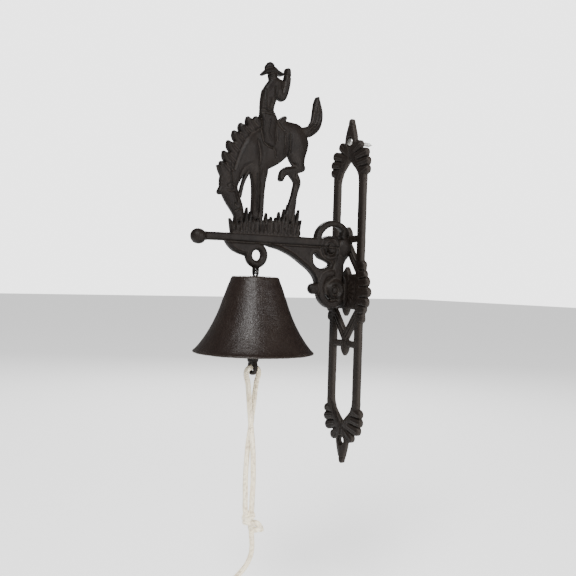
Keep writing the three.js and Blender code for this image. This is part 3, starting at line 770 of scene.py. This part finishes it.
def arm_foot(arm):
    """Two flanges against the wall plate, and a round boss where the bar meets the upper one."""
    flange_thick = 4.0
    back, front = PLATE_THICK + GAP, PLATE_THICK + GAP + flange_thick
    boss_z, boss_side = 43.5, 8.6
    inside_u = np.minimum(arm.a - back, front - arm.a)
    lower = np.minimum(arm.b + 16, 16 - arm.b)
    upper = np.minimum(arm.b - 31.5, 53.5 - arm.b)
    inside_z = np.maximum(lower, upper)
    taper = rounding(inside_z, 7)
    flange = 5.4 * taper * (0.8 + 0.2 * rounding(front - arm.a, 3))
    arm.add(np.minimum(inside_u, inside_z), flange, 2.2, 0.4)
    around = np.hypot((arm.a - back - 3) / 10, (arm.b - boss_z) / 11)
    boss = boss_side * np.sqrt(np.clip(1 - around ** 2, 0, 1))
    arm.height = np.where(arm.depth > 0, soft_max(arm.height, boss, 1.2), arm.height)
    at_wall = (arm.a < back + 1) & (inside_z > 0)
    arm.rim = np.where(at_wall, np.maximum(0.9 * flange, 0.96 * boss), arm.rim)
    arm.depth = np.where(arm.a < back, np.minimum(arm.depth, arm.a - back), arm.depth)


def arm_ring(arm):
    """The round eye under the bar, with the drilled lug below it that the hanger wire goes through."""
    major, minor, ring_z, lug_z = 8.4, 3.7, 31.6, 17.4
    around = np.hypot(arm.a - BELL_U, arm.b - ring_z)
    depth = minor - np.abs(around - major)
    arm.hole(np.where(around < major, major - minor - around, -9), edge=0.4)
    arm.add(depth, np.sqrt(np.maximum(minor ** 2 - (around - major) ** 2, 0)), 0.5, 0.8)
    arm.stroke([(BELL_U, ring_z - major - 1, 3.2), (BELL_U, lug_z, 3.3)], 2.4, rim=0.8, edge=2.4, fillet=1.2)
    arm.round_hole(BELL_U, lug_z, 1.65, edge=0.8, rim=0.6)


def arm_grass(arm):
    turf = [(137, 51, 3), (122, 55.4, 7), (100, 56.4, 8), (82, 56.4, 8), (68, 54.4, 5)]
    arm.stroke(turf, 3.4, rim=1.4, edge=3)
    # (root u, tip u, tip z) of each blade
    blades = [
        (137, 141.8, 63.6), (134, 136.6, 66.4), (130, 130.4, 69), (125.6, 123.8, 74.6), (121, 120, 71.2),
        (116, 116.4, 69), (112, 112.6, 66), (108, 108.8, 70.4), (103.6, 102.4, 71.2), (99.6, 99, 66),
        (96, 97, 68), (92, 91.6, 67.6), (88.4, 88.2, 73), (84.6, 82.2, 76.2), (80, 78.2, 80.8),
        (74, 70.6, 84.2), (70.6, 65.4, 76.8), (68.4, 62.4, 67),
    ]
    for base, tip, z in blades:
        belly = ((2 * base + tip) / 3, (104 + z) / 3, 2.5)
        arm.stroke([(base, 50, 3), belly, (tip, z, 0.35)], 3.8, rim=1.1, edge=2.6, fillet=0.35)
    for step in range(29):
        u = 66 + 2.6 * step
        lean = 1.6 * math.sin(2.4 * step)
        top = 62 + 3 * math.sin(1.7 * step + 1)
        arm.line([(u, 53.4, 0.6), (u + lean, top, 0.5)], -1.3 if step % 2 else 0.7)


def horse_body(arm):
    barrel = [(116, 127, 21), (100, 135, 21), (84, 142, 17), (70.5, 143.5, 15)]
    neck_and_head = [
        (122, 130, 14), (127.4, 121, 13), (137, 107, 10.6), (142.4, 94, 9.4), (138.6, 82, 7.8),
        (134, 74, 6.4), (131.5, 67, 4.8),
    ]
    haunch = [(66, 140, 12.6), (67, 128, 9.6), (64, 118, 5)]
    raised_hind_leg = [(61.5, 117, 4.2), (70, 114, 4), (78, 112.6, 4), (82.4, 110, 3.6), (85, 104.4, 2.6)]
    hind_leg = [
        (72, 112, 5), (66.4, 103, 3.8), (68.4, 95, 3.1), (70.6, 87, 3.2), (72.4, 80, 4.2), (76, 70, 5),
    ]
    front_leg = [(113, 110, 7), (113.4, 97, 4), (113.6, 84, 3.6), (114.6, 68, 3.8)]
    far_front_leg = [(107.6, 112, 8.4), (106.6, 99, 4.0), (107.6, 86, 3.4), (109, 68, 3.6)]
    tail = [
        (58, 151, 5.4), (51, 153.6, 5.2), (44.6, 160.4, 6), (42, 171, 6), (42.4, 181, 3.6), (42, 187, 0.8),
    ]
    rein = [(121, 108, 1.7), (127, 97, 1.6), (130.5, 84, 1.6)]
    arm.stroke(barrel, 5.0, rim=1.4, fillet=2)
    arm.stroke(neck_and_head, 4.4, rim=1.3, fillet=2)
    arm.stroke(haunch, 4.8, rim=1.3, fillet=2)
    arm.stroke(raised_hind_leg, 3.8, rim=1.2, fillet=1)
    arm.stroke(hind_leg, 3.4, rim=1.2)
    arm.stroke(front_leg, 4.4, rim=1.3, fillet=0.6)
    arm.stroke(far_front_leg, 2.7, rim=1.2, fillet=0.6)
    arm.stroke(tail, 3.8, rim=1.2)
    arm.stroke(rein, 2.4, rim=1.0)


def horse_mane(arm):
    roots = [(109, 151), (116, 149), (124, 143), (130.4, 135), (135.6, 125), (140, 115), (143, 106)]
    tips = [
        (113.6, 158), (122, 156.6), (129.8, 149.6), (136.8, 142), (142.8, 132.4), (147.4, 122.6),
        (150.4, 113),
    ]
    for (u, z), (tip_u, tip_z) in zip(roots, tips):
        mid_u, mid_z = (u + tip_u) / 2 + 0.8, (z + tip_z) / 2 - 0.6
        arm.stroke([(u, z, 5.6), (mid_u, mid_z, 4.2), (tip_u, tip_z, 1.0)], 4.0, rim=1.2, edge=3, fillet=0.8)
        arm.line([(u - 1, z - 3.4, 0.8), (mid_u, mid_z - 1, 0.7), (tip_u - 0.6, tip_z - 2, 0.5)], 0.7)
        arm.line([(u - 3.4, z + 0.6, 0.8), (mid_u - 2.6, mid_z + 1.8, 0.7)], -1.1)
    arm.stroke([(145, 100, 4.6), (149.6, 105, 3.0), (153.6, 109.6, 0.8)], 3.6, rim=1.1, edge=2.6, fillet=0.5)
    arm.stroke([(144, 91, 6.4), (149.4, 88, 3.8), (151.4, 86.4, 2.6)], 3.6, rim=1.1, fillet=1)
    parting = [(110, 147.6, 1.4), (119, 142, 1.6), (127, 133, 1.6), (132.6, 121, 1.6), (137.4, 108, 1.4)]
    arm.line(parting, -1.4)


def horse_detail(arm):
    """The horse's bridle, eye, mouth, muscles, girth and the strands of its tail."""
    arm.line([(142.6, 113, 1.4), (142.6, 100, 1.4), (141.4, 92, 1.2)], 1.2)
    arm.disc(141.2, 90.8, 2.0, 5.4, rim=4.0, fillet=0.4)
    arm.line([(137.8, 93.4, 0.7), (141.2, 94.6, 0.7), (144.8, 92.6, 0.7)], -1.2)
    arm.line([(138.4, 88.6, 0.6), (141.6, 87.6, 0.6), (144.4, 88.8, 0.6)], -0.9)
    arm.line([(137.4, 76.8, 0.9), (135.6, 75.2, 0.9)], -1.6)
    arm.line([(131, 73.4, 0.6), (137.4, 70.4, 0.6)], -1.2)
    arm.line([(135, 93, 0.9), (132.4, 85, 0.9), (134, 79, 0.8)], -1.0)
    arm.line([(139, 86, 1.6), (137, 79, 1.4)], 0.6)
    arm.line([(131.4, 102, 1.6), (127, 110, 1.6), (120, 114.6, 1.4)], -0.9)
    between_legs = [(112.4, 136, 1.3), (109.8, 124, 1.5), (110.6, 113, 1.0), (110, 92, 0.8), (111.2, 71, 0.7)]
    arm.line(between_legs, -2.0)
    arm.line([(119, 132, 6), (117, 120, 5)], 1.0)
    arm.line([(79.2, 147, 1.0), (79.4, 137, 1.1), (79.2, 128, 0.9)], 1.8)
    arm.line([(82.4, 146, 0.9), (82.6, 129, 0.9)], -1.6)
    arm.line([(76.4, 146, 0.8), (76.6, 129, 0.8)], -1.0)
    arm.line([(80.6, 128, 1.0), (76.4, 121.4, 1.0), (70, 119, 1.0)], -1.7)
    arm.line([(70.4, 118, 0.8), (75, 116.2, 0.8), (80, 115.4, 0.7)], -1.2)
    arm.line([(68.4, 110.6, 0.8), (69.6, 106, 0.8)], -1.0)
    arm.line([(70, 106, 0.8), (67.6, 100, 0.9), (69.6, 88, 0.8)], 0.9)
    arm.line([(114.6, 106, 0.9), (114.8, 90, 0.9), (115, 72, 0.8)], 1.1)
    arm.line([(96, 116, 5), (88, 122, 4)], -0.6)
    arm.line([(70, 150, 5), (64, 138, 5)], 0.6)
    for shift in (-3, 0, 3):
        strand = [
            (53 + shift * 0.2, 153.6 + shift, 0.8), (45 + shift, 162, 0.8), (42.4 + shift, 172, 0.8),
            (42.2 + shift * 0.4, 182, 0.6),
        ]
        arm.line(strand, 1.0)
        arm.line([(53, 155.2 + shift, 0.6), (46.4 + shift, 162, 0.6), (43.8 + shift, 172, 0.6)], -0.8)


def rider_body(arm):
    raised_arm = [(90, 189, 4.8), (84.6, 180.6, 4.2), (79.8, 190, 3.7), (77.8, 199, 3.3), (77.4, 206.4, 2.6)]
    trunk = [(98.5, 155, 10), (101, 167, 7.2), (98, 180, 8.2), (91.5, 191, 7.4)]
    arm.stroke(trunk, 5.0, rim=1.3, fillet=1.2)
    arm.stroke([(90, 191, 6), (85, 190.6, 5.8), (83, 187, 5)], 3.2, rim=1.2, fillet=0.6)
    arm.stroke(raised_arm, 4.4, rim=1.2, fillet=0.5)
    arm.stroke([(100, 158, 8), (101, 146, 6.6), (98.6, 136.4, 5)], 6.2, rim=4.2, fillet=0.8)
    arm.stroke([(87, 155, 4.6), (81.4, 161.4, 2.2)], 4.0, rim=1.2, fillet=0.6)
    arm.stroke([(110, 152, 4), (113.4, 155.4, 2.2)], 4.0, rim=1.2, fillet=0.6)


def rider_detail(arm):
    """The rider's sleeve, belt, leg and cuff."""
    arm.line([(104.4, 184, 1.3), (105, 174, 1.4), (104.6, 166, 1.2)], 1.2)
    arm.line([(93.4, 188, 0.8), (93.6, 181, 0.9), (91.4, 174, 0.8)], -2.0)
    arm.line([(97, 176, 2.2), (99, 169, 2.0)], -0.7)
    arm.line([(107, 165.8, 0.7), (100, 164.8, 0.7), (93.4, 166, 0.7)], -1.2)
    arm.line([(107, 163.2, 0.6), (100, 162.2, 0.6), (93.4, 163.4, 0.6)], -0.9)
    arm.line([(108, 155, 0.9), (108.6, 146, 0.9), (106.8, 137, 0.8)], -1.8)
    arm.line([(106.4, 135.6, 0.9), (100.4, 132.4, 0.9), (94.6, 131, 0.9), (92.8, 124, 0.8)], -1.8)
    arm.line([(92.4, 162, 0.9), (88.2, 154, 1.0), (83.6, 149.6, 0.9)], -1.6)
    arm.line([(92.2, 150, 0.8), (91.4, 138, 0.8)], -1.2)
    arm.line([(101, 156, 1.2), (102.6, 146, 1.2), (100, 138, 1.2)], 0.6)
    arm.line([(80.4, 201.4, 0.6), (75, 200.4, 0.6)], -0.9)
    arm.line([(84.6, 184.6, 0.7), (82.6, 190, 0.7)], -0.9)


def rider_head(arm):
    """A plain head under a hat: a level brow, a small straight nose, a closed mouth and a round chin."""
    centre_u, centre_z, radius = 94.5, 198.6, 4.6
    arm.stroke([(93.5, 193, 3.6), (centre_u, centre_z, radius)], 3.9, rim=1.1, fillet=0.6)
    face_u = centre_u + radius
    chin = [(face_u - 2.4, centre_z - 3.4, 1.7), (face_u - 2.2, centre_z - 1.4, 2.0)]
    nose = [(face_u - 0.9, centre_z + 0.6, 0.7), (face_u - 0.3, centre_z - 0.7, 0.8)]
    arm.stroke(chin, 2.6, rim=1.0, fillet=0.5)
    arm.stroke(nose, 1.6, rim=0.8, fillet=0.4)
    arm.line([(face_u - 2.6, centre_z + 1.0, 0.45), (face_u - 0.9, centre_z + 1.1, 0.4)], -0.5)
    arm.line([(face_u - 2.4, centre_z - 2.1, 0.3), (face_u - 0.6, centre_z - 2.1, 0.3)], -0.4)
    arm.disc(centre_u - 0.6, centre_z - 0.3, 0.9, 4.4, rim=3.4, fillet=0.3)


def rider_hat(arm):
    brim = [(105, 198.8, 1.5), (100.6, 201.8, 2.2), (93, 203, 2), (84.8, 201.4, 1.4)]
    arm.stroke([(97.6, 204.6, 5.2), (97.2, 207.2, 3.9)], 4.4, rim=1.2, fillet=0.5)
    arm.stroke([(93, 204, 3.4), (88.6, 202.2, 2)], 4.0, rim=1.2, fillet=0.5)
    arm.stroke(brim, 5.2, rim=1.8, fillet=0.4)
    arm.line([(103, 204.2, 0.6), (97.6, 205.4, 0.6), (91.4, 205.2, 0.5)], -1.2)
    arm.line([(94.8, 210.6, 0.9), (100, 209.6, 0.9)], -0.8)


def arm_openings(arm):
    """The crescent window with its raised lip, and the small hole in the upper scroll."""
    loop = smooth([(*corner, 0) for corner in [*CRESCENT, CRESCENT[0]]], 5)[:-1, :2]
    depth = arm.inside_polygon(loop)
    lip = np.exp(-(((-depth - 1.6) / 1.2) ** 2))
    arm.height = arm.height + np.where(depth < 0, 0.7 * lip, 0)
    arm.hole(depth, edge=1.4, rim=2.0)
    arm.round_hole(30.6, 38.1, 1.3, edge=1.2, rim=1.4)


def make_arm():
    arm = Relief((4, -24), (184, 215), CASTING_STEP)
    arm_web(arm)
    upper_scroll(arm)
    lower_scroll(arm)
    arm_openings(arm)
    arm_bar(arm)
    arm_ring(arm)
    arm_foot(arm)
    arm.lean, arm.lean_from = FIGURE_LEAN, BAR_Z
    for draw in (horse_body, horse_mane, rider_body, horse_detail, rider_detail, rider_head, rider_hat):
        draw(arm)
    arm.lean = 0.0
    arm_grass(arm)
    piece = arm.mesh("arm_and_figure_casting", on_arm(1), on_arm(-1))
    roughen(piece, SAND_CAST, seed=23)
    settle(piece, IRON, "bracket", "arm_casting")


# ---- Screws ----
def head_relief(name, radius, peak, rim, slots, place_y):
    """A domed screw head facing out from the wall: each slot gives the distance across it."""
    slot_half = 0.5
    head = Relief((-radius - 1, -radius - 1), (radius + 1, radius + 1), 0.14)
    head.disc(0, 0, radius, peak, rim=rim, edge=radius)
    around = np.hypot(head.a, head.b)
    for across in slots:
        cut = slot_half - np.abs(across(head))
        recess = (cut > 0) & (around < radius * 0.62)
        head.height = np.where(recess, np.minimum(head.height, 0.4 * peak), head.height)
    return head.mesh(
        name,
        lambda x, z, h: np.stack([x, place_y - h, z], axis=1),
        lambda x, z, h: np.stack([x, place_y + 0 * h, z], axis=1),
    )


def thread_mesh(core, crest, pitch, start, end):
    """A wood screw's shank along +Y: a core with a raised helix that runs out at its point."""
    sides = 28
    ys = np.arange(start, end, pitch / 8)
    angles = np.linspace(0, 2 * math.pi, sides, endpoint=False)
    phase = (ys[:, None] / pitch - angles[None, :] / (2 * math.pi)) % 1
    tooth = np.clip(1 - np.abs(phase - 0.5) / 0.22, 0, 1)
    taper = np.clip((end - ys) / 5, 0.05, 1)[:, None]
    lead = np.clip((ys - start - 1) / 1.5, 0, 1)[:, None]
    radius = taper * (core + (crest - core) * tooth * lead)
    along = np.repeat(ys[:, None], sides, axis=1)
    rows = np.stack([radius * np.cos(angles), along, radius * np.sin(angles)], axis=-1).reshape(-1, 3)
    faces = [tuple(reversed(face)) for face in grid_faces(len(ys), sides)]
    ends = [(0, start, 0), (0, end, 0)]
    first, last, offset = len(rows), len(rows) + 1, (len(ys) - 1) * sides
    for j in range(sides):
        after = (j + 1) % sides
        faces.append((first, j, after))
        faces.append((last, offset + after, offset + j))
    return np.vstack([rows, ends]), faces


def shifted(part, offset):
    spots, faces = part
    return np.asarray(spots) + np.array(offset), faces


def make_screws():
    spot_face_depth = 2.8
    seat = PLATE_THICK - spot_face_depth + GAP
    head = head_relief("mounting_screw_head", 3.9, 2.8, 1.2, [lambda h: h.a, lambda h: h.b], -seat)
    head.data.transform(Matrix.Translation((0, 0, MOUNT_HOLE_Z * MM)))
    settle(head, ZINC, "bracket", "mounting_screw")
    thread = thread_mesh(core=1.5, crest=2.2, pitch=1.8, start=-seat + 0.1, end=26)
    shank = joined("mounting_screw_thread", [shifted(thread, (0, 0, MOUNT_HOLE_Z))])
    settle(shank, ZINC, "bracket", "mounting_screw")
    for name, z in ARM_SCREW_Z.items():
        cap = head_relief(name + "_head", 3.8, 1.6, 0.4, [lambda h: h.a], 0)
        cap.data.transform(Matrix.Translation((0, 0, z * MM)) @ Matrix.Rotation(math.pi, 4, "Z"))
        cap.data.transform(Matrix.Translation((0, -1.9 * MM, 0)))
        settle(cap, ZINC, "bracket", name)


# ---- Bell and what hangs it ----
def make_bell():
    outside = [
        (5.4, CROWN_Z), (12, CROWN_Z - 0.1), (18.4, 12), (21.2, 11.5), (22.4, 9.8), (23.6, 6.6), (25.5, 1.8),
        (28, -5.6), (30.6, -13), (33.4, -20.4), (36.6, -27.8), (40.2, -35.2), (44.5, -42.6), (49.5, -50),
        (53.6, -55.2), (55.6, -57), (MOUTH_R, -57.8), (MOUTH_R - 0.6, MOUTH_Z),
    ]
    inside = [
        (MOUTH_R - 2.6, MOUTH_Z), (MOUTH_R - 3.4, -57.9), (50.6, -56), (45.6, -50), (40.6, -42.6),
        (36.3, -35.2), (32.7, -27.8), (29.5, -20.4), (26.7, -13), (24.1, -5.6), (21.3, 1.8), (19, 6.4),
        (16.6, 7.6),
        (4.8, 7.6), (4.2, 8.2), (4.2, 11.8),
    ]
    loop = smooth([(r, z, 0) for r, z in [*outside, *inside, outside[0]]], 5)[:-1, :2]
    bell = lathe("bell_casting", loop[::-1], segments=360)
    roughen(bell, [(14, 0.2), (3.4, 0.1), (1.8, 0.08)], seed=5)
    settle(bell, BELL_IRON, "bell", "bell_shell")


def make_washer():
    low, high = node_box("crown_washer")
    inner, outer, soft = 2.9, (high[0] - low[0]) / 2, 0.25
    bottom, top = low[2], high[2]
    profile = [
        (inner, bottom + soft), (inner + soft, bottom), (outer - soft, bottom), (outer, bottom + soft),
        (outer, top - soft), (outer - soft, top), (inner + soft, top), (inner, top - soft),
    ]
    washer = lathe("crown_washer_disc", profile, segments=72)
    washer.data.set_sharp_from_angle(angle=math.radians(40))
    settle(washer, ZINC, "bell", "crown_washer")


def make_wires():
    hook_z, loop_z = 17.4, -4.4
    half = [
        (0, 0, hook_z), (1.6, 0, hook_z), (3.4, 0, 16.7), (4, 0, 15.2), (3.3, 0, 13.9), (1.9, 0, 12.2),
        (1.3, 0, 10.6), (1.3, 0, 7.4), (1.6, 0, 5.8), (3.4, 0, 3.9), (4.7, 0, 0.6), (4, 0, -2.8),
        (2, 0, loop_z),
    ]
    other = [(-x, y, z) for x, y, z in reversed(half[1:])]
    hanger_route = hung([*other, *half, (0, 0, loop_z), (-1.4, 0, loop_z)])
    hanger = joined("hanger_wire_bent", [wire(hanger_route, 1.1)])
    settle(hanger, WIRE, "hanger", "hanger_wire")
    top, eye_z = -2.0, -12
    side = [
        (0, 0, top), (0, 2, top), (0, 4, top - 1.3), (0, 4.6, top - 4), (0, 4.6, eye_z + 4),
        (0, 4, eye_z + 1.3), (0, 2, eye_z),
    ]
    back = [(x, -y, z) for x, y, z in reversed(side[1:])]
    link_route = hung([*back, *side, (0, 0, eye_z), (0, -1.2, eye_z)])
    link = joined("clapper_link_bent", [wire(link_route, 1.0)])
    settle(link, WIRE, "link", "clapper_link")


def make_clapper():
    rod = [
        (0.05, -67.8), (3.4, -67.6), (4.8, -66.6), (5.3, -64), (5.5, -55), (8.4, -52.6), (11, -49),
        (12, -44), (11, -39), (8.2, -35), (3.9, -32), (3.4, -22), (2.6, -14.6), (0.05, -14.2),
    ]
    body = lathe("clapper_rod", smooth([(r, z, 0) for r, z in rod], 4)[::-1, :2], segments=72)
    link_eye_z, rope_eye_z = -12, -72.6
    ends = Relief((-8, -82), (8, -6), 0.3)
    ends.disc(0, link_eye_z, 4.4, 2.5, rim=0.9, edge=2.4)
    ends.stroke([(0, -62, 5.2), (0, -67, 5.2), (0, rope_eye_z, 6.5)], 2.5, rim=0.9, edge=2.2)
    ends.round_hole(0, link_eye_z, 1.9, edge=1.2, rim=0.8)
    ends.round_hole(0, rope_eye_z, 4.1, edge=1.1, rim=1.4)
    flat = ends.mesh(
        "clapper_ends",
        lambda x, z, h: np.stack([x, BELL_Y - h, z], axis=1),
        lambda x, z, h: np.stack([x, BELL_Y + h, z], axis=1),
    )
    for piece in (body, flat):
        roughen(piece, [(4, 0.08), (1.5, 0.05)], seed=31)
        settle(piece, IRON, "clapper", "clapper")


# ---- Floor and light ----
def make_stage():
    mesh = bpy.data.meshes.new("floor")
    size, drop = 12.0, 0.06
    level = cad_box[0].z - drop
    corners = [(-size, -size, level), (size, -size, level), (size, size, level), (-size, size, level)]
    mesh.from_pydata(corners, [], [(0, 1, 2, 3)])
    floor = bpy.data.objects.new("floor", mesh)
    bpy.context.scene.collection.objects.link(floor)
    material, _, shader = node_material("pale_floor", 0.9, 0.0)
    shader.inputs["Base Color"].default_value = (0.86, 0.86, 0.86, 1)
    shader.inputs["Emission Color"].default_value = (1, 1, 1, 1)
    shader.inputs["Emission Strength"].default_value = 0.8
    floor.data.materials.append(material)


def area_light(name, place, size, power, aim=(0, -0.1, 0)):
    data = bpy.data.lights.new(name, "AREA")
    data.shape = "DISK"
    data.size = size
    data.energy = power
    light = bpy.data.objects.new(name, data)
    bpy.context.scene.collection.objects.link(light)
    light.location = place
    light.rotation_euler = (Vector(aim) - Vector(place)).to_track_quat("-Z", "Y").to_euler()


def make_light():
    world = bpy.data.worlds.new("studio")
    bpy.context.scene.world = world
    world.use_nodes = True
    tree = world.node_tree
    # the backdrop is bright to the eye, and lights the object only softly
    on_object, on_camera = 0.28, 3.2
    seen = add_node(tree, "ShaderNodeLightPath").outputs["Is Camera Ray"]
    strength = add_node(tree, "ShaderNodeMapRange", {"Value": seen, "To Min": on_object, "To Max": on_camera})
    tree.links.new(strength.outputs["Result"], tree.nodes["Background"].inputs["Strength"])
    tree.nodes["Background"].inputs["Color"].default_value = (1, 1, 1, 1)
    area_light("key", (1.01, -1.29, 1.47), 0.8, 80)
    area_light("fill", (1.9, 0.6, 0.5), 0.9, 34)
    area_light("rim", (-1.5, 0.9, 1.1), 0.9, 34)


make_camera()
make_rope()
make_wall_plate()
make_arm()
make_screws()
make_bell()
make_washer()
make_wires()
make_clapper()
make_stage()
make_light()
